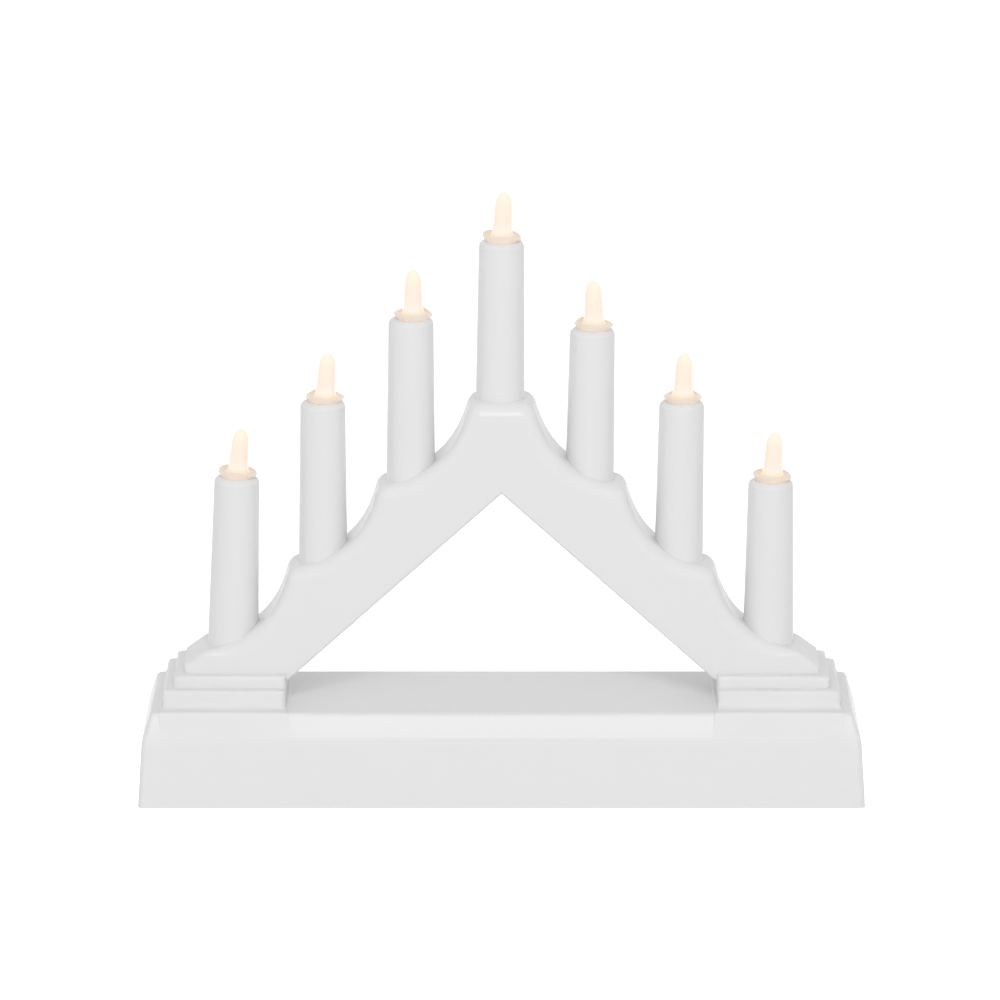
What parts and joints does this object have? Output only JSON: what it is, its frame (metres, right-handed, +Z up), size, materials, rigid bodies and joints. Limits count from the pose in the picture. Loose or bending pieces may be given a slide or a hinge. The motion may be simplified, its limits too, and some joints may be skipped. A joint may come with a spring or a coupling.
{
  "type": "led candlestick",
  "caption": "Gabled LED candle arch in glossy white plastic: stepped shelves carry candle tubes with warm flame-shaped light tips, on a long base that holds the cells and a switch.",
  "frame": {"origin": "middle of the base's footprint, on the surface that it stands on", "axes": "+X along the base to the right as seen from the front, +Y to the rear, +Z up"},
  "size_m": [0.21, 0.0496, 0.1764],
  "materials": {
    "white_plastic": "glossy moulded white plastic",
    "lit_flame": "milky warm translucent plastic, lit from inside",
    "led_resin": "clear warm resin, lit",
    "plated_steel": "nickel plated",
    "cell_sleeve": "plain printed sleeve",
    "board_laminate": "green solder mask",
    "black_plastic": "satin black",
    "resistor_body": "lacquered",
    "white_wire": "soft insulation",
    "red_wire": "soft insulation",
    "black_wire": "soft insulation"
  },
  "bodies": {
    "arch_and_base": {"base_housing": "white_plastic", "base_plate": "white_plastic", "arch_front_shell": "white_plastic", "arch_rear_shell": "white_plastic", "candle_tube_1": "white_plastic", "candle_tube_2": "white_plastic", "candle_tube_3": "white_plastic", "candle_tube_4": "white_plastic", "candle_tube_5": "white_plastic", "candle_tube_6": "white_plastic", "candle_tube_7": "white_plastic", "flame_1": "lit_flame", "flame_2": "lit_flame", "flame_3": "lit_flame", "flame_4": "lit_flame", "flame_5": "lit_flame", "flame_6": "lit_flame", "flame_7": "lit_flame", "led_1": "led_resin", "led_2": "led_resin", "led_3": "led_resin", "led_4": "led_resin", "led_5": "led_resin", "led_6": "led_resin", "led_7": "led_resin", "plate_screw_1": "plated_steel", "plate_screw_2": "plated_steel", "plate_screw_3": "plated_steel", "plate_screw_4": "plated_steel", "arch_screw_1": "plated_steel", "arch_screw_2": "plated_steel", "arch_screw_3": "plated_steel", "arch_screw_4": "plated_steel", "contact_bridge": "plated_steel", "contact_positive": "plated_steel", "contact_negative": "plated_steel", "battery_spring_1": "plated_steel", "battery_spring_2": "plated_steel", "battery_1": "cell_sleeve", "battery_2": "cell_sleeve", "circuit_board": "board_laminate", "timer_chip": "black_plastic", "resistor": "resistor_body", "switch_body": "black_plastic", "wiring_harness": "white_wire", "positive_lead": "red_wire", "negative_lead": "black_wire", "switch_lead_1": "red_wire", "switch_lead_2": "red_wire"},
    "door": {"battery_door": "white_plastic"},
    "slider": {"switch_slider": "black_plastic"}
  },
  "joints": [
    {"name": "door_hinge", "type": "hinge", "parent": "arch_and_base", "child": "door", "pos_m": [-0.06405, 0, 0.003], "axis": [0, 1, 0], "range_deg": [0, 80]},
    {"name": "switch_slide", "type": "slide", "parent": "arch_and_base", "child": "slider", "axis": [1, 0, 0], "range_m": [0, 0.003]}
  ]
}
